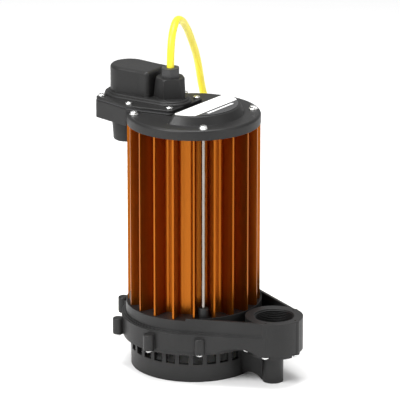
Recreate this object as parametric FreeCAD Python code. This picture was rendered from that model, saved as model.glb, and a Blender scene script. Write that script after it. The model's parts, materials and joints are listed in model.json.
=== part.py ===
import FreeCAD, Part
import math
import os

# Submersible sump pump.  Millimetres, +Z up, origin on the motor axis at the
# plane that the pump stands on, +X towards the discharge.

V = FreeCAD.Vector
os.makedirs("parts", exist_ok=True)

# ---------------------------------------------------------------- dimensions
# base / strainer
RING_R = 76.2          # outside of the strainer ring (6 in diameter)
RING_RI = 71.2
RING_TOP = 37.3
WINDOW_PITCH = 12.6
WINDOW_W = 11.5
WINDOW_Z0, WINDOW_Z1 = 22.0, 36.0
FOOT_X, FOOT_R = 117.0, 12.6
PLATE_R = 86.0
PLATE_TOP = 42.3
EYE_R = 25.0
# volute casing
CASE_R = 87.6
CASE_R_UP = 82.0
LEDGE_Z0, LEDGE_Z1 = 64.0, 66.5
PORT_X = 118.4
PORT_OUT_R = 34.7
PORT_R = 23.8          # wall radius of the 1-1/2 in pipe-thread bore
PORT_TOP = 82.6
SEAT_Z = 79.6
RECESS_Z = 66.0
RIM_T = 3.6
CHAMBER_TOP = 62.0
BRACKET_BORE_R = 45.0
# casing screws
SCREW_SHANK_R = 2.5
SCREW_HEAD_AF = 8.0
SCREW_HEAD_H = 3.0
# motor housing extrusion
FIN_R = 79.6
ROOT_R = 57.0
BORE_R = 52.5
FINS = 20
FIN_T = 2.4
HOUSING_TOP = 303.4
# tie rods
ROD_PCR = 72.0
ROD_R = 2.5
ROD_BOSS_R = 6.5
ROD_BOSS_TOP = 93.0
# cover
COVER_R = 80.2
COVER_TOP = 315.6
PLATEAU_R0, PLATEAU_R1 = 61.0, 55.5
PLATEAU_Z = 325.8
PLATEAU_X = 3.0
# switch cap
LOBE_X = -95.0
LOBE_R = 23.5
LOBE_TOP = 359.5
PAD_TOP = 318.6         # cover pad under the cap
GASKET_TOP = 319.5
CAP_EAR_Z = 322.5       # face under the cap screws
CAP_FLANGE_Z = 325.6
GLAND_X = -34.3
GLAND_TOP = 353.0
NUT_TOP = 364.5
NUT_AF = 20.7
WELL_X = -100.0
WELL_BOTTOM = 264.0
CAP_SCREWS = [(-15.9, 27.4), (-15.9, -27.4), (-67.0, 39.5), (-67.0, -39.5),
              (-114.0, 30.8), (-114.0, -30.8)]
# rotor
SHAFT_R = 8.0
LOW_BRG_Z0, LOW_BRG_Z1 = 92.0, 104.0
UP_BRG_Z0, UP_BRG_Z1 = 288.0, 299.0
# cord
CORD_R = 4.5


def cyl(r, z0, z1, x=0.0, y=0.0):
    return Part.makeCylinder(r, z1 - z0, V(x, y, z0), V(0, 0, 1))


def cone(r0, r1, z0, z1, x=0.0, y=0.0):
    return Part.makeCone(r0, r1, z1 - z0, V(x, y, z0), V(0, 0, 1))


def ring(ro, ri, z0, z1, x=0.0, y=0.0):
    return cyl(ro, z0, z1, x, y).cut(cyl(ri, z0 - 1, z1 + 1, x, y))


def box(x0, x1, y0, y1, z0, z1):
    return Part.makeBox(x1 - x0, y1 - y0, z1 - z0, V(x0, y0, z0))


def rot(shape, deg, x=0.0, y=0.0):
    s = shape.copy()
    s.rotate(V(x, y, 0), V(0, 0, 1), deg)
    return s


def polar(r, deg):
    a = math.radians(deg)
    return r * math.cos(a), r * math.sin(a)


def hull(x1, r1, x2, r2, z0, z1):
    """Prism whose outline is the belt round two circles on the X axis."""
    if x2 < x1:
        x1, r1, x2, r2 = x2, r2, x1, r1
    s = (r1 - r2) / (x2 - x1)
    c = math.sqrt(1 - s * s)
    a_top, a_bot = V(x1 + r1 * s, r1 * c, z0), V(x1 + r1 * s, -r1 * c, z0)
    b_top, b_bot = V(x2 + r2 * s, r2 * c, z0), V(x2 + r2 * s, -r2 * c, z0)
    e = [Part.Arc(a_top, V(x1 - r1, 0, z0), a_bot).toShape(),
         Part.LineSegment(a_bot, b_bot).toShape(),
         Part.Arc(b_bot, V(x2 + r2, 0, z0), b_top).toShape(),
         Part.LineSegment(b_top, a_top).toShape()]
    return Part.Face(Part.Wire(e)).extrude(V(0, 0, z1 - z0))


def hexagon(af, z0, z1, x=0.0, y=0.0, turn=0.0):
    r = af / math.sqrt(3.0)
    pts = [V(x + r * math.cos(math.radians(60 * i + turn)),
             y + r * math.sin(math.radians(60 * i + turn)), z0) for i in range(6)]
    w = Part.makePolygon(pts + [pts[0]])
    return Part.Face(w).extrude(V(0, 0, z1 - z0))


def revolve(points):
    """Solid of revolution about Z from (r, z) points."""
    pts = [V(r, 0, z) for r, z in points]
    f = Part.Face(Part.makePolygon(pts + [pts[0]]))
    return f.revolve(V(0, 0, 0), V(0, 0, 1), 360)


def fuse(*shapes):
    s = shapes[0].multiFuse(list(shapes[1:])) if len(shapes) > 1 else shapes[0]
    return s.removeSplitter()


def soft_edges(shape, radius, pick, chamfer=False):
    """Round the edges that pick() accepts; keep the shape if the kernel can't."""
    edges = [e for e in shape.Edges if pick(e)]
    if not edges:
        print("no edges for", radius)
        return shape
    try:
        out = (shape.makeChamfer(radius, edges) if chamfer
               else shape.makeFillet(radius, edges))
        if out.isValid() and len(out.Solids) == len(shape.Solids) and out.Volume > 0:
            return out
    except Exception:
        pass
    print("edges kept sharp:", radius, len(edges))
    return shape


def at_z(e, z, tol=0.02):
    b = e.BoundBox
    return abs(b.ZMin - z) < tol and abs(b.ZMax - z) < tol


MADE = {}


def save(name, shape):
    if isinstance(shape, (list, tuple)):
        shape = Part.makeCompound(list(shape))
    elif len(shape.Solids) == 1:
        shape = shape.Solids[0]
    ok = shape.isValid()
    print("%-24s solids %2d  vol %10.1f  %s" % (name, len(shape.Solids), shape.Volume,
                                              "ok" if ok else "NOT VALID"))
    MADE[name] = shape
    shape.exportStep("parts/%s.step" % name)


# ------------------------------------------------------------ screw positions
BIG_BOSSES = [polar(89.0, -49.6), polar(89.0, 49.6), polar(91.0, -90.3), polar(91.0, 90.3),
              polar(92.5, -135), polar(92.5, 135), (-106.5, 0.0)]
NECK_BOSSES = [(93.0, -20.5), (93.0, 20.5)]
PORT_BOSSES = [(126.3, -28.9), (126.3, 28.9), (149.0, 0.0)]
EAR_Z = 40.3             # underside of the ears that the screw heads bear on
BIG_BOSS_R, SMALL_BOSS_R = 6.8, 5.5

# ---------------------------------------------------------------- base casting
base = ring(RING_R, RING_RI, 0.0, RING_TOP + 0.5)
for k in [i for i in range(-13, 14) if i] + [180.0 / WINDOW_PITCH]:
    w = box(RING_RI - 4, RING_R + 4, -WINDOW_W / 2, WINDOW_W / 2, WINDOW_Z0, WINDOW_Z1)
    base = base.cut(rot(w, k * WINDOW_PITCH))
foot = cyl(FOOT_R, 0.0, RING_TOP + 0.5, FOOT_X, 0)
web = box(RING_RI + 1, FOOT_X, -6.0, 6.0, 0.0, RING_TOP + 0.5)
arch = Part.makeCylinder(19.9, 40, V(90.2, -20, 6.0 - 19.9), V(0, 1, 0))
web = web.cut(arch)
plate = fuse(cyl(PLATE_R, RING_TOP, PLATE_TOP), box(60, PORT_X, -23, 23, RING_TOP, PLATE_TOP),
             cyl(31.5, RING_TOP, PLATE_TOP, PORT_X, 0))
ears = []
for x, y in BIG_BOSSES:
    ears.append(cyl(BIG_BOSS_R - 0.3, EAR_Z, PLATE_TOP, x, y))
    a = math.degrees(math.atan2(y, x))
    ears.append(rot(box(PLATE_R - 8, math.hypot(x, y), -4.6, 4.6, EAR_Z, PLATE_TOP), a))
for x, y in PORT_BOSSES:
    ears.append(cyl(SMALL_BOSS_R, EAR_Z, PLATE_TOP, x, y))
base = fuse(base, foot, web, plate, *ears)
base = base.cut(cyl(EYE_R, RING_TOP - 1, PLATE_TOP + 1))
for x, y in NECK_BOSSES + PORT_BOSSES:
    base = base.cut(cyl(6.2, RING_TOP - 1, EAR_Z, x, y))
for x, y in BIG_BOSSES:
    base = base.cut(cyl(5.2, EAR_Z - SCREW_HEAD_H - 0.6, EAR_Z, x, y))
for x, y in BIG_BOSSES + NECK_BOSSES + PORT_BOSSES:
    base = base.cut(cyl(SCREW_SHANK_R + 0.1, RING_TOP - 1, PLATE_TOP + 1, x, y))
base = soft_edges(base, 0.8, lambda e: at_z(e, 0.0) and e.Length > 60, chamfer=True)
save("base_strainer", base)

# -------------------------------------------------------------- volute casing
case = fuse(hull(0, CASE_R, PORT_X, PORT_OUT_R, PLATE_TOP, LEDGE_Z0),
            hull(0, CASE_R - 1.2, PORT_X, PORT_OUT_R - 0.5, LEDGE_Z0 - 1, LEDGE_Z0 + 1.1),
            hull(0, CASE_R_UP + 2.0, PORT_X, PORT_OUT_R - 0.9, LEDGE_Z0 - 1, LEDGE_Z0 + 2.6),
            hull(0, CASE_R_UP, PORT_X, PORT_OUT_R - 1.3, LEDGE_Z0 - 1, PORT_TOP))
case = case.cut(box(-120, 40, -120, 120, SEAT_Z, PORT_TOP + 5))
case = case.cut(cyl(FIN_R + 2.0, SEAT_Z, PORT_TOP + 5))
# recess behind the rim, between the motor seat and the discharge
recess = hull(0, CASE_R_UP - RIM_T, PORT_X, PORT_OUT_R - 1.3 - RIM_T, RECESS_Z, PORT_TOP + 5)
recess = recess.cut(cyl(82.2, RECESS_Z - 1, PORT_TOP + 6))
recess = recess.cut(cyl(PORT_OUT_R - 1.6, RECESS_Z - 1, PORT_TOP + 6, PORT_X, 0))
case = case.cut(recess)
# underside arches at the neck
neck_arch = Part.makeCylinder(42.9, 100, V(98.5, 23.5, 6.5), V(0, 1, 0))
case = case.cut(neck_arch)
neck_arch = Part.makeCylinder(42.9, 100, V(98.5, -123.5, 6.5), V(0, 1, 0))
case = case.cut(neck_arch)
port = cyl(PORT_OUT_R, PLATE_TOP, PORT_TOP, PORT_X, 0)
bosses = []
for x, y in BIG_BOSSES:
    b = cyl(BIG_BOSS_R, PLATE_TOP, 60.5, x, y)
    b = soft_edges(b, 2.2, lambda e: at_z(e, 60.5))
    bosses.append(b)
    a = math.degrees(math.atan2(y, x))
    r = math.hypot(x, y)
    bosses.append(rot(box(CASE_R - 6, r, -5.0, 5.0, PLATE_TOP, 57.5), a))
for x, y in PORT_BOSSES:
    bosses.append(cyl(SMALL_BOSS_R, PLATE_TOP, PORT_TOP, x, y))
    a = math.degrees(math.atan2(y, x - PORT_X))
    r = math.hypot(x - PORT_X, y)
    w = box(PORT_X + 26, PORT_X + r, -3.8, 3.8, PLATE_TOP, PORT_TOP)
    bosses.append(rot(w, a, PORT_X, 0))
for a in (45, 135, -135, -45):
    x, y = polar(ROD_PCR, a)
    b = cyl(ROD_BOSS_R, SEAT_Z - 5, ROD_BOSS_TOP, x, y)
    bosses.append(soft_edges(b, 1.0, lambda e: at_z(e, ROD_BOSS_TOP)))
case = fuse(case, port, *bosses)
# spiral water passage
def sp(deg, r):
    x, y = polar(r, deg)
    return V(x, y, PLATE_TOP - 1)


def spiral_r(deg):
    return 59.0 + (74.0 - 59.0) * (deg - 21.0) / (343.0 - 21.0)


cuts = []
angs = [21, 75, 129, 182, 236, 290, 343]
sw = [Part.Arc(sp(angs[i], spiral_r(angs[i])), sp(angs[i + 1], spiral_r(angs[i + 1])),
               sp(angs[i + 2], spiral_r(angs[i + 2]))).toShape() for i in (0, 2, 4)]
p_end, p_start = sp(343, spiral_r(343)), sp(21, spiral_r(21))
d1, d2 = V(PORT_X, -16, PLATE_TOP - 1), V(PORT_X, 16, PLATE_TOP - 1)
n1, n2 = V(94, -16, PLATE_TOP - 1), V(80, 16, PLATE_TOP - 1)
sw += [Part.LineSegment(p_end, n1).toShape(), Part.LineSegment(n1, d1).toShape(),
       Part.LineSegment(d1, d2).toShape(), Part.LineSegment(d2, n2).toShape(),
       Part.LineSegment(n2, p_start).toShape()]
passage = Part.Face(Part.Wire(sw)).extrude(V(0, 0, CHAMBER_TOP - PLATE_TOP + 1))
case = case.cut(passage)
case = case.cut(cyl(BRACKET_BORE_R, CHAMBER_TOP - 1, SEAT_Z + 1))
case = case.cut(cyl(PORT_R, PLATE_TOP - 1, PORT_TOP + 1, PORT_X, 0))
case = case.cut(cone(PORT_R, PORT_R + 0.5, PORT_TOP - 0.5, PORT_TOP + 0.001, PORT_X, 0))
for x, y in BIG_BOSSES + PORT_BOSSES:
    case = case.cut(cyl(SCREW_SHANK_R + 0.1, PLATE_TOP - 1, 56.0, x, y))
for x, y in NECK_BOSSES:
    case = case.cut(cyl(SCREW_SHANK_R + 0.1, PLATE_TOP - 1, 56.0, x, y))
for x, y in PORT_BOSSES:
    case = case.cut(cyl(1.2, PORT_TOP - 1.2, PORT_TOP + 1, x, y))
for a in (45, 135, -135, -45):
    x, y = polar(ROD_PCR, a)
    case = case.cut(cyl(ROD_R + 0.1, 72.0, ROD_BOSS_TOP + 1, x, y))
case = soft_edges(case, 1.2, lambda e: at_z(e, SEAT_Z) and e.Length > 150
                  and e.BoundBox.XLength > 90)
save("volute_casing", case)

# gasket between plate and casing is a paper-thin ring in a real pump; here an
# O-ring in the housing spigots does that job, and the casing joint is metal to metal.

# ------------------------------------------------------------- casing screws
screws = []
for x, y in BIG_BOSSES + NECK_BOSSES + PORT_BOSSES:
    h = hexagon(SCREW_HEAD_AF, EAR_Z - SCREW_HEAD_H, EAR_Z, x, y)
    h = h.common(cone(2.6, 6.0, EAR_Z - SCREW_HEAD_H, EAR_Z - SCREW_HEAD_H + 3.4, x, y))
    screws.append(fuse(h, cyl(SCREW_SHANK_R, EAR_Z - 0.5, 54.0, x, y)))
save("casing_screws", screws)

# ------------------------------------------------------------- motor housing
FILLET = 4.0
edges = []
half = FIN_T / 2
tip_x = math.sqrt(FIN_R ** 2 - (half - 0.15) ** 2)
cx = ROOT_R + FILLET
a_root = math.degrees(math.asin((half + FILLET) / cx))
for i in range(FINS):
    a = i * 360.0 / FINS

    def P(x, y, a=a):
        c, s = math.cos(math.radians(a)), math.sin(math.radians(a))
        return V(x * c - y * s, x * s + y * c, SEAT_Z)
    fx = cx * math.cos(math.radians(a_root))
    fy = half + FILLET
    # point where the root rounding meets the root circle
    rx, ry = ROOT_R * math.cos(math.radians(a_root)), ROOT_R * math.sin(math.radians(a_root))
    # middle of the root rounding
    ux, uy = (rx - fx), (ry - fy)
    n = math.hypot(ux, uy)
    ux, uy = ux / n, uy / n
    mx, my = (ux + 0.0), (uy - 1.0)
    n = math.hypot(mx, my)
    mx, my = fx + FILLET * mx / n, fy + FILLET * my / n
    edges.append(Part.Arc(P(rx, -ry), P(mx, -my), P(fx, -half)).toShape())
    edges.append(Part.LineSegment(P(fx, -half), P(tip_x, -half + 0.15)).toShape())
    edges.append(Part.Arc(P(tip_x, -half + 0.15), P(FIN_R, 0), P(tip_x, half - 0.15)).toShape())
    edges.append(Part.LineSegment(P(tip_x, half - 0.15), P(fx, half)).toShape())
    edges.append(Part.Arc(P(fx, half), P(mx, my), P(rx, ry)).toShape())
    b = a + 360.0 / FINS

    def Q(x, y, b=b):
        c, s = math.cos(math.radians(b)), math.sin(math.radians(b))
        return V(x * c - y * s, x * s + y * c, SEAT_Z)
    mid = a + 180.0 / FINS
    m = V(ROOT_R * math.cos(math.radians(mid)), ROOT_R * math.sin(math.radians(mid)), SEAT_Z)
    edges.append(Part.Arc(P(rx, ry), m, Q(rx, -ry)).toShape())
outer = Part.Wire(Part.__sortEdges__(edges))
housing = Part.Face(outer).extrude(V(0, 0, HOUSING_TOP - SEAT_Z))
housing = housing.cut(cyl(BORE_R, SEAT_Z - 1, HOUSING_TOP + 1))
save("motor_housing", housing)

# ------------------------------------------------------------------ tie rods
rods = []
for a in (45, 135, -135, -45):
    x, y = polar(ROD_PCR, a)
    h = hexagon(8.0, COVER_TOP, COVER_TOP + 3.8, x, y, 15)
    h = h.common(cone(6.5, 3.0, COVER_TOP + 1.0, COVER_TOP + 4.5, x, y).fuse(cyl(6, COVER_TOP, COVER_TOP + 1.01, x, y)))
    wsh = cyl(5.4, COVER_TOP, COVER_TOP + 0.9, x, y)
    rods.append(fuse(h, wsh, cyl(ROD_R, 73.0, COVER_TOP + 0.5, x, y)))
save("tie_rods", rods)

# --------------------------------------------------------------- motor cover
disc = cyl(COVER_R, HOUSING_TOP, COVER_TOP)
disc = soft_edges(disc, 3.2, lambda e: at_z(e, COVER_TOP))


def pad_outline(z0, z1, r):
    """Outline that runs round the six cap screws at a distance r."""
    ring_ = [CAP_SCREWS[0], CAP_SCREWS[2], CAP_SCREWS[4], CAP_SCREWS[5], CAP_SCREWS[3],
             CAP_SCREWS[1]]
    pts = [V(x, y, z0) for x, y in ring_]
    solids = [Part.Face(Part.makePolygon(pts + [pts[0]])).extrude(V(0, 0, z1 - z0))]
    n = len(ring_)
    for i in range(n):
        (xa, ya), (xb, yb) = ring_[i], ring_[(i + 1) % n]
        solids.append(cyl(r, z0, z1, xa, ya))
        d = math.hypot(xb - xa, yb - ya)
        ang = math.degrees(math.atan2(yb - ya, xb - xa))
        solids.append(rot(box(xa, xa + d, ya - r, ya + r, z0, z1), ang, xa, ya))
    return fuse(*solids)


ext = pad_outline(297.0, PAD_TOP, 7.2)
ext = ext.cut(cyl(FIN_R + 0.6, 296.0, HOUSING_TOP))
ext = soft_edges(ext, 1.2, lambda e: at_z(e, PAD_TOP))
parts = [disc, ext]
# D-shaped plateau that carries the nameplate
plateau = cone(PLATEAU_R0, PLATEAU_R1, COVER_TOP - 0.5, PLATEAU_Z)
side = Part.Face(Part.makePolygon([V(PLATEAU_X - 80, -90, COVER_TOP - 1), V(PLATEAU_X - 0.5, -90, COVER_TOP - 1),
                                   V(PLATEAU_X + 3.5, -90, PLATEAU_Z + 1), V(PLATEAU_X - 80, -90, PLATEAU_Z + 1),
                                   V(PLATEAU_X - 80, -90, COVER_TOP - 1)])).extrude(V(0, 180, 0))
plateau = plateau.cut(side)
plateau = soft_edges(plateau, 6.0, lambda e: abs(e.BoundBox.ZMax - e.BoundBox.ZMin) > 5 and e.Length < 40)
plateau = soft_edges(plateau, 2.4, lambda e: at_z(e, PLATEAU_Z))
parts.append(plateau)
# pocket for the capacitor
parts.append(cone(16.2, 19.2, WELL_BOTTOM, HOUSING_TOP + 2, WELL_X, 0))
# spigot and bearing boss inside the motor
parts.append(cyl(BORE_R - 0.05, 296.4, HOUSING_TOP + 1))
cover = fuse(*parts)
cover = soft_edges(cover, 2.5, lambda e: at_z(e, WELL_BOTTOM))
cover = cover.cut(ring(48.0, 24.0, 290.0, 308.0))
cover = fuse(cover, cyl(24.0, 286.0, HOUSING_TOP + 1))
cover = cover.cut(cyl(17.5, 285.0, 300.0))
cover = cover.cut(cyl(11.0, 299.0, 304.0))
cover = cover.cut(cyl(13.4, 267.0, PAD_TOP + 1, WELL_X, 0))
cover = cover.cut(cyl(12.0, 295.0, PAD_TOP + 1, GLAND_X, 0))
cover = cover.cut(ring(BORE_R + 0.5, 50.2, 298.4, 301.0))
for a in (45, 135, -135, -45):
    x, y = polar(ROD_PCR, a)
    cover = cover.cut(cyl(ROD_R + 0.15, HOUSING_TOP - 1, COVER_TOP + 1, x, y))
for x, y in CAP_SCREWS:
    cover = cover.cut(cyl(2.1, 305.5, PAD_TOP + 1, x, y))
save("motor_cover", cover)

# nameplate: a D-shaped foil plate on the plateau
name = cyl(53.0, PLATEAU_Z, PLATEAU_Z + 0.6).cut(box(-80, 8.5, -80, 80, PLATEAU_Z - 1, PLATEAU_Z + 2))
name = soft_edges(name, 3.0, lambda e: abs(e.BoundBox.ZMax - e.BoundBox.ZMin) > 0.4 and e.Length < 1)
save("nameplate", name)

# --------------------------------------------------------------- gasket, cap
gasket = pad_outline(PAD_TOP, GASKET_TOP, 6.4)
gasket = gasket.cut(hull(LOBE_X, 20.6, -62.0, 11.0, PAD_TOP - 1, GASKET_TOP + 1))
gasket = gasket.cut(cyl(14.0, PAD_TOP - 1, GASKET_TOP + 1, GLAND_X, 0))
for x, y in CAP_SCREWS:
    gasket = gasket.cut(cyl(2.4, PAD_TOP - 1, GASKET_TOP + 1, x, y))
save("cap_gasket", gasket)

ears_c = pad_outline(GASKET_TOP, CAP_EAR_Z, 6.6)
ears_c = soft_edges(ears_c, 1.0, lambda e: at_z(e, CAP_EAR_Z))
flange = hull(LOBE_X, 30.5, GLAND_X, 25.5, GASKET_TOP, CAP_FLANGE_Z)
flange = soft_edges(flange, 2.4, lambda e: at_z(e, CAP_FLANGE_Z))
for x, y in CAP_SCREWS:
    flange = flange.cut(cyl(5.2, CAP_EAR_Z, CAP_FLANGE_Z + 1, x, y))
lobe = fuse(hull(LOBE_X, LOBE_R, -70.0, 21.8, GASKET_TOP, LOBE_TOP),
            box(-70.0, -52.5, -21.8, 21.8, GASKET_TOP, LOBE_TOP))
lobe = lobe.common(box(-130.0, -52.5, -30.0, 30.0, GASKET_TOP, LOBE_TOP))
lobe = soft_edges(lobe, 5.0, lambda e: e.BoundBox.ZLength > 30 and e.BoundBox.XMin > -53.0)
lobe = soft_edges(lobe, 4.0, lambda e: at_z(e, LOBE_TOP))
skirt = hull(LOBE_X, LOBE_R + 3.4, GLAND_X, 23.4, CAP_FLANGE_Z - 0.5, CAP_FLANGE_Z + 2.4)
skirt = soft_edges(skirt, 2.2, lambda e: at_z(e, CAP_FLANGE_Z + 2.4))
gland = cone(21.4, 17.6, GASKET_TOP, GLAND_TOP, GLAND_X, 0)
gland = soft_edges(gland, 1.8, lambda e: at_z(e, GLAND_TOP))
# flat panels on the flanks of the gland boss
for a, d in ((-48, 15.6), (48, 15.6), (-108, 16.6), (108, 16.6)):
    flat = box(GLAND_X + d, GLAND_X + 30, -30, 30, CAP_FLANGE_Z + 3.4, GLAND_TOP + 1.0)
    gland = gland.cut(rot(flat, a, GLAND_X, 0))
cap = fuse(ears_c, flange, lobe, skirt, gland)
cap = cap.cut(hull(LOBE_X, LOBE_R - 3.5, -68.0, 14.0, GASKET_TOP - 1, LOBE_TOP - 3.8))
cap = cap.cut(cyl(13.0, GASKET_TOP - 1, 329.0, GLAND_X, 0))
cap = cap.cut(cyl(9.0, 328.0, GLAND_TOP + 1, GLAND_X, 0))
# wire way between the two chambers
cap = cap.cut(box(-60, GLAND_X, -5, 5, GASKET_TOP - 1, 326.0))
for x, y in CAP_SCREWS:
    cap = cap.cut(cyl(2.4, GASKET_TOP - 1, CAP_FLANGE_Z + 1, x, y))
save("terminal_cap", cap)

cs = []
for x, y in CAP_SCREWS:
    h = cyl(4.2, CAP_EAR_Z, CAP_EAR_Z + 2.8, x, y)
    h = soft_edges(h, 1.2, lambda e: at_z(e, CAP_EAR_Z + 2.8))
    h = h.cut(hexagon(3.0, CAP_EAR_Z + 1.2, CAP_EAR_Z + 3.0, x, y))
    cs.append(fuse(h, cyl(2.0, 307.0, CAP_EAR_Z + 0.4, x, y)))
save("cap_screws", cs)

# ---------------------------------------------------------------- cord inlet
nut = hexagon(NUT_AF, GLAND_TOP, NUT_TOP, GLAND_X, 0, 6.0)
nut = nut.common(cone(13.5, 10.6, GLAND_TOP, NUT_TOP + 0.001, GLAND_X, 0))
nut = fuse(nut, cyl(8.9, 348.0, GLAND_TOP + 0.5, GLAND_X, 0))
nut = nut.cut(cyl(4.8, 347.0, NUT_TOP + 1, GLAND_X, 0))
save("gland_nut", nut)
plug_in = fuse(cyl(8.85, 331.0, 348.0, GLAND_X, 0), cyl(CORD_R, 347.0, NUT_TOP, GLAND_X, 0))
pins = [cyl(1.2, 320.0, 331.0, GLAND_X + 4.5 * math.cos(a), 4.5 * math.sin(a))
        for a in (0.0, 2.0944, 4.18879)]
save("moulded_cord_end", plug_in)
save("terminal_pins", pins)
block = cyl(11.6, 309.0, 320.0, GLAND_X, 0)
save("terminal_block", block)
save("run_capacitor", fuse(cyl(12.6, 268.0, 338.0, WELL_X, 0),
                           box(WELL_X - 4.5, WELL_X - 2.5, -4, 4, 337.0, 343.0),
                           box(WELL_X + 2.5, WELL_X + 4.5, -4, 4, 337.0, 343.0)))

# ------------------------------------------------- bearing bracket / seal plate
br = fuse(cyl(BRACKET_BORE_R - 0.05, CHAMBER_TOP, SEAT_Z + 0.5), cyl(BORE_R - 0.05, SEAT_Z, 90.0),
          cyl(27.0, 89.0, 105.5))
br = br.cut(cyl(20.0, 92.0, 106.0))
br = br.cut(cyl(9.6, 60.0, 93.0))
br = br.cut(cyl(14.0, 60.0, 78.0))
br = br.cut(cyl(17.5, 60.0, 71.0))
br = br.cut(ring(BORE_R + 0.5, 50.2, 83.0, 85.6))
save("bearing_bracket", br)
save("housing_oring_lower", ring(BORE_R, 50.25, 83.1, 85.5))
save("housing_oring_upper", ring(BORE_R, 50.25, 298.5, 300.9))
save("seal_seat", ring(13.95, 9.2, 71.0, 77.5))

# ------------------------------------------------------------------ rotor set
shaft = revolve([(0, 37.0), (5.4, 37.0), (6.0, 37.6), (6.0, 60.0), (8.0, 60.0), (8.0, 91.0),
                 (8.5, 91.0), (8.5, 104.0), (10.5, 104.0), (10.5, 116.0), (9.0, 116.0),
                 (9.0, 280.0), (7.5, 280.0), (7.5, 299.2), (0, 299.2)])
save("shaft", shaft)
imp = fuse(cyl(52.0, 56.0, 58.6), cyl(12.5, 44.5, 59.6))
for i in range(6):
    def vp(r, d, i=i):
        x, y = polar(r, d + 60 * i)
        return V(x, y, 44.5)
    e1 = Part.Arc(vp(11.0, 0), vp(31.0, 28), vp(51.0, 72)).toShape()
    e2 = Part.Arc(vp(51.0, 67.5), vp(31.0, 21), vp(11.0, -15)).toShape()
    l1 = Part.LineSegment(vp(51.0, 72), vp(51.0, 67.5)).toShape()
    l2 = Part.LineSegment(vp(11.0, -15), vp(11.0, 0)).toShape()
    vane = Part.Face(Part.Wire([e1, l1, e2, l2])).extrude(V(0, 0, 12.0))
    imp = imp.fuse(vane)
imp = imp.removeSplitter().cut(cyl(6.03, 40, 60))
save("impeller", imp)
save("impeller_washer", ring(10.0, 6.05, 43.3, 44.5))
save("impeller_nut", hexagon(17.0, 38.3, 43.3).cut(cyl(6.0, 38, 44)))
save("seal_head", ring(12.6, 8.03, 66.2, 70.9))
save("seal_bellows", ring(13.2, 8.03, 59.8, 66.2).cut(ring(14.0, 11.2, 61.4, 64.6)))
save("rotor_core", ring(29.0, 9.0, 140.0, 230.0))
bars = [ring(27.5, 17.0, 131.0, 140.0), ring(27.5, 17.0, 230.0, 239.0)]
er = []
for b, z0, z1 in ((bars[0], 125.0, 131.5), (bars[1], 238.5, 245.0)):
    f = b
    for i in range(8):
        f = f.fuse(rot(box(19.0, 26.5, -1.2, 1.2, z0, z1), i * 45))
    er.append(f.removeSplitter())
save("rotor_end_rings", er)


def ball_bearing(name, ri, ro, z0, z1, balls, rb):
    pr = (ri + ro) / 2
    zm = (z0 + z1) / 2
    land = (ro - ri) * 0.2
    groove = Part.makeTorus(pr, rb + 0.04, V(0, 0, zm), V(0, 0, 1))
    inner = ring(ri + 1.35 * land, ri, z0, z1).cut(groove)
    outer_ = ring(ro, ro - 1.35 * land, z0, z1).cut(groove)
    save(name + "_inner_race", inner)
    save(name + "_outer_race", outer_)
    bb = []
    for i in range(balls):
        x, y = polar(pr, i * 360.0 / balls)
        bb.append(Part.makeSphere(rb, V(x, y, zm)))
    save(name + "_balls", bb)


ball_bearing("lower_bearing", 8.5, 20.0, LOW_BRG_Z0, LOW_BRG_Z1, 8, 3.37)
ball_bearing("upper_bearing", 7.5, 17.5, UP_BRG_Z0, UP_BRG_Z1, 8, 2.95)
save("bearing_wave_washer", ring(17.2, 13.0, 299.0, 300.0))
save("bearing_retaining_ring", ring(19.9, 17.2, 104.05, 105.2).cut(box(0, 25, -2, 2, 100, 110)))

# ---------------------------------------------------------------- stator set
core = ring(BORE_R - 0.05, 29.6, 140.0, 230.0)
slots = []
for i in range(24):
    s = fuse(box(29.0, 32.0, -1.1, 1.1, 139.0, 231.0), box(31.5, 42.5, -2.2, 2.2, 139.0, 231.0))
    slots.append(rot(s, i * 15 + 7.5))
core = core.cut(slots[0].multiFuse(slots[1:]))
save("stator_core", core)
wires = [ring(46.0, 32.5, 118.0, 138.5), ring(46.0, 32.5, 231.5, 252.0)]
for i in range(24):
    wires.append(rot(box(33.0, 42.0, -1.8, 1.8, 137.0, 233.0), i * 15 + 7.5))
wind = wires[0].multiFuse(wires[1:])
save("stator_windings", wind)

# ----------------------------------------------------------------- power cord
# Route of the free cord's control points, from the gland nut to the coil.
U = V(0.80902, 0.58779, 0)      # sideways, seen along the row of the coil
W = V(-0.58779, 0.80902, 0)     # away behind the pump


def uvz(u, v, z):
    return V(U.x * u + W.x * v, U.y * u + W.y * v, z)


COIL_U, COIL_V = -8.0, 182.0
COIL_MID_R0, COIL_MID_R1 = 69.5, 35.0     # outermost and innermost turn
COIL_H = 18.0
ROUTE = [V(GLAND_X, 0, NUT_TOP), V(GLAND_X, 0, 395.0), V(-45.4, 25.4, 416.6),
         V(-61.1, 59.7, 405.6), V(-73.0, 86.3, 387.5), V(-83.6, 110.0, 365.9),
         V(-98.6, 143.5, 331.6), V(-110.8, 170.5, 279.0),
         uvz(28, 227, 214), uvz(46, 241, 148), uvz(57, 249.5, 92), uvz(60, 251.5, 48.4),
         uvz(43.9, 251.5, 20.6), uvz(16.1, 251.5, 4.5), uvz(COIL_U, COIL_V + COIL_MID_R0, 4.5)]


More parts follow.
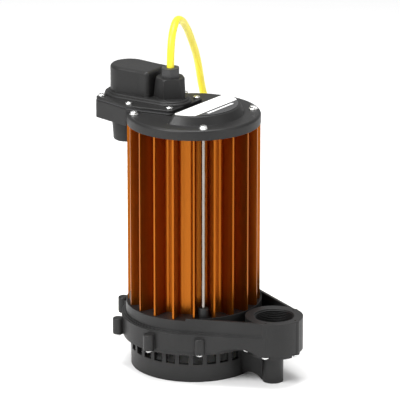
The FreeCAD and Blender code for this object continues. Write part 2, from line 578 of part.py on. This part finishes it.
def cord_path(pts):
    """Straight runs joined by tangent arcs, as large as the runs allow."""
    n = len(pts)
    runs = [(pts[i + 1] - pts[i]).Length for i in range(n - 1)]
    edges_, start, radii = [], pts[0], []
    for i in range(1, n - 1):
        a = (pts[i - 1] - pts[i]).normalize()
        b = (pts[i + 1] - pts[i]).normalize()
        turn = math.pi - a.getAngle(b)
        t = 0.45 * min(runs[i - 1], runs[i])
        radius = t / math.tan(turn / 2)
        radii.append(radius)
        p0, p1 = pts[i] + a * t, pts[i] + b * t
        bis = (a + b).normalize()
        centre = pts[i] + bis * math.hypot(radius, t)
        mid = centre - bis * radius
        edges_.append(Part.LineSegment(start, p0).toShape())
        edges_.append(Part.Arc(p0, mid, p1).toShape())
        start = p1
        print("  cord bend %2d  turn %5.1f deg  radius %6.1f mm  run %5.1f" %
              (i, math.degrees(turn), radius, runs[i]))
    edges_.append(Part.LineSegment(start, pts[-1]).toShape())
    return Part.Wire(edges_)


path = cord_path(ROUTE)
section = Part.Wire([Part.Circle(ROUTE[0], ROUTE[1] - ROUTE[0], CORD_R).toShape()])
tube = path.makePipeShell([section], True, True)
print("  cord tube volume %.0f, section x length %.0f, length %.0f" %
      (tube.Volume, math.pi * CORD_R ** 2 * path.Length, path.Length))
save("power_cord", tube)

turn_uv = math.degrees(math.atan2(U.y, U.x))
C0 = uvz(COIL_U, COIL_V, 0)


def behind(shape):
    """Place a shape drawn about the coil's centre."""
    s = shape.copy()
    s.rotate(V(0, 0, 0), V(0, 0, 1), turn_uv)
    s.translate(C0)
    return s


coil = ring(COIL_MID_R0 + CORD_R, COIL_MID_R1 - CORD_R, 0.0, COIL_H)
coil = coil.cut(box(0, 60, COIL_MID_R0 - CORD_R - 0.1, 90, -1, COIL_H + 1))
coil = coil.cut(box(0, 60, -90, -COIL_MID_R0 + CORD_R + 0.1, 2 * CORD_R - 0.1, COIL_H + 1))
coil = coil.cut(box(26.5, 60, -90, -COIL_MID_R0 + 9.6, 13.5 - 9.6, COIL_H + 1))
save("cord_coil", behind(coil))


def along_u(r, u0, u1, v, z, r2=None):
    if r2 is None:
        return Part.makeCylinder(r, u1 - u0, V(u0, v, z), V(1, 0, 0))
    return Part.makeCone(r, r2, u1 - u0, V(u0, v, z), V(1, 0, 0))


PV, PZ = -COIL_MID_R0, 13.5
save("cord_tail", behind(along_u(CORD_R, 0.0, 27.0, PV, PZ)))
relief = along_u(CORD_R + 0.9, 27.0, 57.0, PV, PZ, 8.6)
for i in range(5):
    relief = relief.cut(along_u(20, 31.5 + i * 5.0, 33.5 + i * 5.0, PV, PZ).cut(
        along_u(5.0 + i * 0.55, 31.0 + i * 5.0, 34.0 + i * 5.0, PV, PZ)))
save("plug_strain_relief", behind(relief))
body = box(57.0, 92.0, PV - 13.5, PV + 13.5, 0.0, 27.0)
body = soft_edges(body, 4.5, lambda e: e.BoundBox.XLength > 30)
body = soft_edges(body, 2.0, lambda e: abs(e.BoundBox.XMin - 57) < 0.01 and e.BoundBox.XLength < 0.01)
save("plug_body", behind(body))
blades = [box(92.0, 109.5, PV - 7.1, PV - 5.6, 14.5, 20.8),
          box(92.0, 109.5, PV + 5.6, PV + 7.1, 14.5, 20.8),
          along_u(2.4, 92.0, 112.5, PV, 7.2)]
save("plug_blades", [behind(b) for b in blades])
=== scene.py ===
import json
import math

import bmesh
import bpy
from mathutils import Matrix, Vector


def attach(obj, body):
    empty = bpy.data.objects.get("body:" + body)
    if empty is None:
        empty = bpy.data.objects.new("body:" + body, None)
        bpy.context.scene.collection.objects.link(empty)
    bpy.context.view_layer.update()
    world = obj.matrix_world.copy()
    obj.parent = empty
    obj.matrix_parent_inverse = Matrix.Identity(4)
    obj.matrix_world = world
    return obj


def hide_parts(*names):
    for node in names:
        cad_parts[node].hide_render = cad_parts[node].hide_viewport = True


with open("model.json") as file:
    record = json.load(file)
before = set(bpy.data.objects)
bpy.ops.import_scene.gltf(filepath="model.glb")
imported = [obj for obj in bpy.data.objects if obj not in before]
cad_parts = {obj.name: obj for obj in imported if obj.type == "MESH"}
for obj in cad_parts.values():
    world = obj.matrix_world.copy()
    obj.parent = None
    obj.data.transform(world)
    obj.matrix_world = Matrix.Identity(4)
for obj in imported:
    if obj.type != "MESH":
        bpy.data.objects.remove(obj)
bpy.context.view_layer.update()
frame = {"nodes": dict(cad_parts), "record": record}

NODES = frame["nodes"]
scene = bpy.context.scene


# --------------------------------------------------------------------- camera
AZ, EL = math.radians(36.0), math.radians(18.031)
DIST, SIDE, UP = 4.5974, 0.00741, 0.20462
back = Vector((math.sin(AZ) * math.cos(EL), -math.cos(AZ) * math.cos(EL), math.sin(EL)))
right = Vector((math.cos(AZ), math.sin(AZ), 0.0))
up = back.cross(right)
cam_data = bpy.data.cameras.new("camera")
cam_data.sensor_width = 36.0
cam_data.lens = 3831.0 / 400.0 * 36.0
cam_data.clip_end = 50.0
cam = bpy.data.objects.new("camera", cam_data)
scene.collection.objects.link(cam)
place = right * SIDE + Vector((0, 0, UP)) + back * DIST
rot = Matrix((right, up, back)).transposed()
cam.matrix_world = Matrix.Translation(place) @ rot.to_4x4()
scene.camera = cam


# ------------------------------------------------------------------ materials
def nodes_of(mat):
    mat.use_nodes = True
    nt = mat.node_tree
    return nt, nt.nodes["Principled BSDF"], nt.nodes["Material Output"]


def add(nt, kind, **inputs):
    n = nt.nodes.new(kind)
    for k, v in inputs.items():
        n.inputs[k.replace("_", " ")].default_value = v
    return n


def coords(nt, scale=(1, 1, 1)):
    tc = nt.nodes.new("ShaderNodeTexCoord")
    mp = nt.nodes.new("ShaderNodeMapping")
    mp.inputs["Scale"].default_value = scale
    nt.links.new(tc.outputs["Object"], mp.inputs["Vector"])
    return mp.outputs["Vector"]


def noise(nt, vec, scale, detail=3.0, rough=0.5):
    n = nt.nodes.new("ShaderNodeTexNoise")
    n.inputs["Scale"].default_value = scale
    n.inputs["Detail"].default_value = detail
    n.inputs["Roughness"].default_value = rough
    nt.links.new(vec, n.inputs["Vector"])
    return n.outputs["Fac"]


def ramp(nt, fac, stops):
    r = nt.nodes.new("ShaderNodeValToRGB")
    e = r.color_ramp.elements
    while len(e) > 1:
        e.remove(e[0])
    e[0].position, e[0].color = stops[0][0], (*stops[0][1], 1)
    for p, c in stops[1:]:
        k = e.new(p)
        k.color = (*c, 1)
    nt.links.new(fac, r.inputs["Fac"])
    return r.outputs["Color"]


def scale_range(nt, fac, lo, hi, a=0.3, b=0.7):
    m = nt.nodes.new("ShaderNodeMapRange")
    m.inputs["From Min"].default_value = a
    m.inputs["From Max"].default_value = b
    m.inputs["To Min"].default_value = lo
    m.inputs["To Max"].default_value = hi
    nt.links.new(fac, m.inputs["Value"])
    return m.outputs["Result"]


def mix(nt, fac, a, b, mode="MIX"):
    m = nt.nodes.new("ShaderNodeMix")
    m.data_type = "RGBA"
    m.blend_type = mode
    for sock, val in ((m.inputs["Factor"], fac), (m.inputs["A"], a), (m.inputs["B"], b)):
        pass
    ins = {"f": m.inputs[0], "a": m.inputs[6], "b": m.inputs[7]}
    for key, val in (("f", fac), ("a", a), ("b", b)):
        if isinstance(val, (int, float)):
            ins[key].default_value = val
        elif isinstance(val, tuple):
            ins[key].default_value = (*val, 1) if len(val) == 3 else val
        else:
            nt.links.new(val, ins[key])
    return m.outputs[2]


def math_node(nt, op, a, b=None):
    m = nt.nodes.new("ShaderNodeMath")
    m.operation = op
    for i, v in enumerate((a, b)):
        if v is None:
            continue
        if isinstance(v, (int, float)):
            m.inputs[i].default_value = v
        else:
            nt.links.new(v, m.inputs[i])
    return m.outputs[0]


def bump(nt, height, strength, dist, soft=0.0):
    b = nt.nodes.new("ShaderNodeBump")
    b.inputs["Strength"].default_value = strength
    b.inputs["Distance"].default_value = dist
    nt.links.new(height, b.inputs["Height"])
    if soft > 0:
        bv = nt.nodes.new("ShaderNodeBevel")
        bv.samples = 6
        bv.inputs["Radius"].default_value = soft
        nt.links.new(bv.outputs["Normal"], b.inputs["Normal"])
    return b.outputs["Normal"]


def cast_dark():
    """Satin black paint on a casting: fine orange peel over a slightly uneven skin."""
    m = bpy.data.materials.new("cast_dark")
    nt, p, _ = nodes_of(m)
    v = coords(nt)
    fine = noise(nt, v, 700, 3.0, 0.5)
    broad = noise(nt, v, 22, 2.0, 0.4)
    col = ramp(nt, broad, [(0.3, (0.0105, 0.0103, 0.0102)), (0.7, (0.0145, 0.0143, 0.0142))])
    speck = scale_range(nt, noise(nt, v, 1400, 1.0), 0.0, 0.5, 0.70, 0.78)
    col = mix(nt, speck, col, (0.045, 0.045, 0.045))
    nt.links.new(col, p.inputs["Base Color"])
    nt.links.new(scale_range(nt, fine, 0.40, 0.50), p.inputs["Roughness"])
    p.inputs["Specular IOR Level"].default_value = 0.30
    h = math_node(nt, "ADD", fine, math_node(nt, "MULTIPLY", broad, 1.2))
    nt.links.new(bump(nt, h, 0.16, 0.00025, 0.0008), p.inputs["Normal"])
    return m


def fin_orange():
    """Orange anodised extrusion: die lines along Z, slightly streaked dye."""
    m = bpy.data.materials.new("fin_orange")
    nt, p, _ = nodes_of(m)
    long_ = coords(nt, (1, 1, 0.012))
    streak = noise(nt, long_, 260, 3.0, 0.55)
    hair = noise(nt, long_, 1500, 2.0, 0.5)
    cloud = noise(nt, coords(nt), 14, 2.0, 0.5)
    col = ramp(nt, streak, [(0.25, (0.312, 0.086, 0.006)), (0.75, (0.388, 0.119, 0.010))])
    col = mix(nt, scale_range(nt, cloud, 0.0, 0.22), col, (0.33, 0.070, 0.005))
    nt.links.new(col, p.inputs["Base Color"])
    p.inputs["Metallic"].default_value = 0.9
    nt.links.new(scale_range(nt, streak, 0.27, 0.38), p.inputs["Roughness"])
    nt.links.new(bump(nt, hair, 0.10, 0.00004, 0.0003), p.inputs["Normal"])
    return m


def metal(name, colour, lo, hi, scale=900, brushed=None, strength=0.15):
    m = bpy.data.materials.new(name)
    nt, p, _ = nodes_of(m)
    v = coords(nt, brushed or (1, 1, 1))
    n = noise(nt, v, scale, 3.0, 0.55)
    c2 = tuple(c * 0.82 for c in colour)
    nt.links.new(ramp(nt, noise(nt, v, scale / 8, 2.0), [(0.3, c2), (0.7, colour)]), p.inputs["Base Color"])
    p.inputs["Metallic"].default_value = 1.0
    nt.links.new(scale_range(nt, n, lo, hi), p.inputs["Roughness"])
    nt.links.new(bump(nt, n, strength, 0.0001, 0.0003), p.inputs["Normal"])
    return m


def rod_steel():
    """Zinc-plated rod, drawn along its length: below the cover it is painted dark grey, a painted reflection
    of dark surroundings; bright at the head.
    """
    m = bpy.data.materials.new("bright_steel_rod")
    nt, p, _ = nodes_of(m)
    tc = nt.nodes.new("ShaderNodeTexCoord")
    sep = nt.nodes.new("ShaderNodeSeparateXYZ")
    nt.links.new(tc.outputs["Object"], sep.inputs["Vector"])
    head = math_node(nt, "GREATER_THAN", sep.outputs["Z"], 0.3155)
    drawn = noise(nt, coords(nt, (1, 1, 0.03)), 1800, 3.0, 0.55)
    # painted reflection: the rod below the cover gets a dark grey for the dark surroundings it reflects, with
    # the drawn-line tone varying on top
    drawn_grain_and_painted_shade = ramp(nt, drawn, [(0.3, (0.23, 0.215, 0.20)), (0.7, (0.33, 0.31, 0.29))])
    nt.links.new(mix(nt, head, drawn_grain_and_painted_shade, (0.88, 0.88, 0.87)), p.inputs["Base Color"])
    p.inputs["Metallic"].default_value = 1.0
    nt.links.new(scale_range(nt, drawn, 0.20, 0.34), p.inputs["Roughness"])
    nt.links.new(bump(nt, drawn, 0.12, 0.00005, 0.0003), p.inputs["Normal"])
    return m


def polymer(name, colour, lo, hi, scale=700, strength=0.25, dist=0.0002, soft=0.0004, vary=0.8):
    m = bpy.data.materials.new(name)
    nt, p, _ = nodes_of(m)
    v = coords(nt)
    n = noise(nt, v, scale, 4.0, 0.6)
    c2 = tuple(c * vary for c in colour)
    nt.links.new(ramp(nt, noise(nt, v, 60, 2.0), [(0.3, c2), (0.7, colour)]), p.inputs["Base Color"])
    nt.links.new(scale_range(nt, n, lo, hi), p.inputs["Roughness"])
    nt.links.new(bump(nt, n, strength, dist, soft), p.inputs["Normal"])
    return m


def label_foil():
    """Two-tone foil plate: a white field and a black band with a thin silver rule."""
    m = bpy.data.materials.new("label")
    nt, p, _ = nodes_of(m)
    tc = nt.nodes.new("ShaderNodeTexCoord")
    sep = nt.nodes.new("ShaderNodeSeparateXYZ")
    nt.links.new(tc.outputs["Object"], sep.inputs["Vector"])
    x, y = sep.outputs["X"], sep.outputs["Y"]
    band = math_node(nt, "GREATER_THAN", x, 0.0335)
    rule = math_node(nt, "MULTIPLY", math_node(nt, "GREATER_THAN", x, 0.0370),
                     math_node(nt, "LESS_THAN", x, 0.0405))
    rule = math_node(nt, "MULTIPLY", rule,
                     math_node(nt, "LESS_THAN", math_node(nt, "ABSOLUTE", y), 0.0255))
    v = coords(nt)
    grain = noise(nt, v, 260, 3.0)
    white = ramp(nt, grain, [(0.3, (0.86, 0.86, 0.85)), (0.7, (0.93, 0.93, 0.92))])
    black = ramp(nt, grain, [(0.3, (0.012, 0.012, 0.013)), (0.7, (0.020, 0.020, 0.021))])
    col = mix(nt, band, white, black)
    col = mix(nt, rule, col, (0.75, 0.75, 0.75))
    nt.links.new(col, p.inputs["Base Color"])
    nt.links.new(scale_range(nt, grain, 0.25, 0.36), p.inputs["Roughness"])
    p.inputs["Coat Weight"].default_value = 0.3
    p.inputs["Coat Roughness"].default_value = 0.15
    nt.links.new(bump(nt, grain, 0.1, 0.0001), p.inputs["Normal"])
    return m


def cord_jacket():
    """Thermoplastic cord jacket, bright yellow, with faint scuffs along it."""
    m = bpy.data.materials.new("cord_yellow")
    nt, p, _ = nodes_of(m)
    v = coords(nt)
    n = noise(nt, v, 520, 4.0, 0.55)
    broad = noise(nt, v, 26, 2.0)
    col = ramp(nt, broad, [(0.3, (0.80, 0.66, 0.020)), (0.7, (0.90, 0.79, 0.035))])
    scuff = scale_range(nt, noise(nt, v, 150, 5.0, 0.7), 0.0, 0.35, 0.62, 0.80)
    col = mix(nt, scuff, col, (0.52, 0.42, 0.05))
    nt.links.new(col, p.inputs["Base Color"])
    nt.links.new(scale_range(nt, n, 0.34, 0.48), p.inputs["Roughness"])
    p.inputs["Subsurface Weight"].default_value = 0.06
    p.inputs["Subsurface Radius"].default_value = (0.004, 0.003, 0.001)
    p.inputs["Subsurface Scale"].default_value = 0.5
    nt.links.new(bump(nt, n, 0.18, 0.0002), p.inputs["Normal"])
    return m


MATS = {
    "cast_dark": cast_dark(),
    "fin_orange": fin_orange(),
    "bright_steel": metal("bright_steel", (0.88, 0.88, 0.87), 0.12, 0.28),
    "label": label_foil(),
    "cord_yellow": cord_jacket(),
    "rubber_black": polymer("rubber_black", (0.018, 0.018, 0.018), 0.55, 0.75),
    "plastic_black": polymer("plastic_black", (0.030, 0.030, 0.031), 0.36, 0.52, 1100, 0.2),
    "brass": metal("brass", (0.78, 0.57, 0.22), 0.22, 0.36),
    "copper": metal("copper", (0.72, 0.30, 0.12), 0.30, 0.45, 1600, (1, 1, 0.05), 0.5),
    "lamination": metal("lamination", (0.34, 0.35, 0.37), 0.35, 0.5, 2600, (0.03, 0.03, 1), 0.6),
    "alu_raw": metal("alu_raw", (0.74, 0.74, 0.75), 0.34, 0.5),
    "ceramic": polymer("ceramic", (0.78, 0.76, 0.70), 0.12, 0.24, 900, 0.1),
    "carbon": polymer("carbon", (0.028, 0.028, 0.030), 0.26, 0.38, 900, 0.1),
    "steel": metal("steel", (0.42, 0.415, 0.41), 0.24, 0.38, 1400, (1, 1, 0.2)),
    "gasket_grey": polymer("gasket_grey", (0.05, 0.05, 0.054), 0.7, 0.85, 500, 0.4),
}
for sub in frame["record"]["subparts"]:
    o = NODES[sub["node"]]
    o.data.materials.clear()
    o.data.materials.append(MATS[sub["material_slot"]])
NODES["tie_rods"].data.materials.clear()
NODES["tie_rods"].data.materials.append(rod_steel())


# ------------------------------------------------------------------ the cords
CORD_D = 0.009
U = Vector((0.80902, 0.58779, 0))
W = Vector((-0.58779, 0.80902, 0))


def uvz(u, v, z):
    return U * u + W * v + Vector((0, 0, z))


COIL_U, COIL_V = -8.0, 182.0
R_OUT, R_IN = 69.5, 35.0
ROUTE = [Vector((-34.3, 0, 364.5)), Vector((-34.3, 0, 395.0)), Vector((-45.4, 25.4, 416.6)),
         Vector((-61.1, 59.7, 405.6)), Vector((-73.0, 86.3, 387.5)), Vector((-83.6, 110.0, 365.9)),
         Vector((-98.6, 143.5, 331.6)), Vector((-110.8, 170.5, 279.0)),
         uvz(28, 227, 214), uvz(46, 241, 148), uvz(57, 249.5, 92), uvz(60, 251.5, 48.4),
         uvz(43.9, 251.5, 20.6), uvz(16.1, 251.5, 4.5)]
PER_TURN, TURNS, TOP_Z = 16, 7.5, 13.65
grow = 1.0 / math.cos(math.pi / PER_TURN)
coil_pts = []
for i in range(int(TURNS * PER_TURN) + 1):
    t = min((i + 0.5) / PER_TURN, TURNS)      # turns done
    r = R_IN + (R_OUT - R_IN) * abs(t - TURNS / 2) / (TURNS / 2)
    climb = min(max((t - TURNS / 2 + 0.22) / 0.44, 0.0), 1.0)
    z = 4.5 + (TOP_Z - 4.5) * climb * climb * (3 - 2 * climb)
    a = math.radians(90.0 + 360.0 * (i + 0.5) / PER_TURN)
    coil_pts.append(uvz(COIL_U + r * grow * math.cos(a), COIL_V + r * grow * math.sin(a), z))
tail = [uvz(COIL_U + 28.0, COIL_V - R_OUT, 13.5)]
points = [p / 1000.0 for p in ROUTE + coil_pts + tail]

curve = bpy.data.curves.new("power_cord_flex", "CURVE")
curve.dimensions = "3D"
sp = curve.splines.new("NURBS")
sp.points.add(len(points) - 1)
for q, co in zip(sp.points, points):
    q.co = (*co, 1.0)
sp.order_u = 3
sp.use_endpoint_u = True
sp.resolution_u = 8
curve.bevel_depth = CORD_D / 2
curve.bevel_resolution = 6
curve.use_fill_caps = True
cord = bpy.data.objects.new("power_cord_flex", curve)
scene.collection.objects.link(cord)
curve.materials.append(MATS["cord_yellow"])
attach(cord, "pump_body")
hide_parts("power_cord", "cord_coil", "cord_tail")


# --------------------------------------------------------------- mesh helpers
def mesh_object(name, bm, mat, body, smooth=True):
    bmesh.ops.recalc_face_normals(bm, faces=bm.faces)
    me = bpy.data.meshes.new(name)
    bm.to_mesh(me)
    bm.free()
    for p in me.polygons:
        p.use_smooth = smooth
    o = bpy.data.objects.new(name, me)
    scene.collection.objects.link(o)
    me.materials.append(MATS[mat])
    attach(o, body)
    return o


def swept(bm, rows, closed_path=False):
    """Skins rows of points (each row one closed section) into a closed tube."""
    vs = [[bm.verts.new(p) for p in row] for row in rows]
    n = len(rows[0])
    last = len(rows) if closed_path else len(rows) - 1
    for i in range(last):
        a, b = vs[i], vs[(i + 1) % len(rows)]
        for j in range(n):
            bm.faces.new((a[j], a[(j + 1) % n], b[(j + 1) % n], b[j]))
    if not closed_path:
        bm.faces.new(vs[0])
        bm.faces.new(vs[-1])


# pipe thread in the discharge: a real helix, 11.5 turns to the inch
PITCH, WALL = 0.0254 / 11.5, 0.0238
bm = bmesh.new()
rows = []
z_top, turns_t, steps = 0.0812, 11, 72
for i in range(turns_t * steps + 1):
    a = 2 * math.pi * i / steps
    z = z_top - PITCH * i / steps
    fade = min(1.0, i / 20.0, (turns_t * steps - i) / 60.0 + 0.08)
    depth = 0.00135 * max(fade, 0.1)
    ca, sa = math.cos(a), math.sin(a)
    row = []
    for dr, dz in ((0.0002, -0.00090), (-depth, -0.00022), (-depth, 0.00022), (0.0002, 0.00090)):
        r = WALL + dr
        row.append((0.1184 + r * ca, r * sa, z + dz))
    rows.append(row)
swept(bm, rows)
mesh_object("discharge_thread", bm, "cast_dark", "pump_body", smooth=False)

# two ties round the coil
tie_pieces = []
for k, ang in enumerate((200.0, 330.0)):
    bm = bmesh.new()
    a = math.radians(ang)
    ca, sa = math.cos(a), math.sin(a)
    rows = []
    r0, r1, z0, z1, c = R_IN - 5.2, R_OUT + 5.2, 0.3, 18.7, 4.0
    path = []
    for cx, cz, s in ((r1 - c, z1 - c, 0), (r0 + c, z1 - c, 90), (r0 + c, z0 + c, 180), (r1 - c, z0 + c, 270)):
        for j in range(7):
            b = math.radians(s + j * 15)
            path.append((cx, cz, math.cos(b), math.sin(b), c))
    for cx, cz, cb, sb, c_ in path:
        row = []
        for rr, w in ((c_ - 0.55, -2.4), (c_ + 0.55, -2.4), (c_ + 0.55, 2.4), (c_ - 0.55, 2.4)):
            x, z = cx + rr * cb, max(cz + rr * sb, 0.05)
            row.append(uvz(COIL_U + x * ca - w * sa, COIL_V + x * sa + w * ca, z) / 1000.0)
        rows.append(row)
    swept(bm, rows, closed_path=True)
    tie_pieces.append(mesh_object("coil_tie_%d" % k, bm, "plastic_black", "pump_body", smooth=False))


# ------------------------------------------------------------- floor and light
bm = bmesh.new()
bmesh.ops.create_grid(bm, x_segments=2, y_segments=2, size=8.0)
me = bpy.data.meshes.new("floor")
bm.to_mesh(me)
bm.free()
floor = bpy.data.objects.new("floor", me)
floor.location = (0, 0, -0.0002)
scene.collection.objects.link(floor)
fm = bpy.data.materials.new("floor")
nt, p, _ = nodes_of(fm)
nt.links.new(ramp(nt, noise(nt, coords(nt), 3.0, 2.0), [(0.3, (0.94, 0.94, 0.94)), (0.7, (0.96, 0.96, 0.96))]),
             p.inputs["Base Color"])
p.inputs["Roughness"].default_value = 0.9
p.inputs["Specular IOR Level"].default_value = 0.1
me.materials.append(fm)

world = bpy.data.worlds.new("world")
scene.world = world
world.use_nodes = True
bg = world.node_tree.nodes["Background"]
bg.inputs["Color"].default_value = (1, 1, 1, 1)
bg.inputs["Strength"].default_value = 0.50


def area(name, loc, target, size, power, colour=(1, 1, 1), size_y=None):
    d = bpy.data.lights.new(name, "AREA")
    d.energy = power
    d.color = colour
    d.size = size
    if size_y:
        d.shape = "RECTANGLE"
        d.size_y = size_y
    o = bpy.data.objects.new(name, d)
    scene.collection.objects.link(o)
    v = Vector(target) - Vector(loc)
    o.matrix_world = Matrix.Translation(Vector(loc)) @ v.to_track_quat("-Z", "Y").to_matrix().to_4x4()
    return o


def seen(az_off, el, dist):
    """A place az_off degrees round to the right of the camera, at an elevation."""
    a, e = AZ + math.radians(az_off), math.radians(el)
    return Vector((math.sin(a) * math.cos(e), -math.cos(a) * math.cos(e), math.sin(e))) * dist


area("key", seen(-48, 38, 2.2) + Vector((0, 0, 0.2)), (0, 0, 0.2), 0.7, 42)
area("top", Vector((0, 0, 2.2)), (0, 0, 0.3), 1.2, 46)
area("fill", seen(55, 20, 2.4), (0, 0, 0.2), 1.0, 13)
scene.view_settings.view_transform = "Standard"
scene.view_settings.look = "None"
scene.view_settings.exposure = 0.0
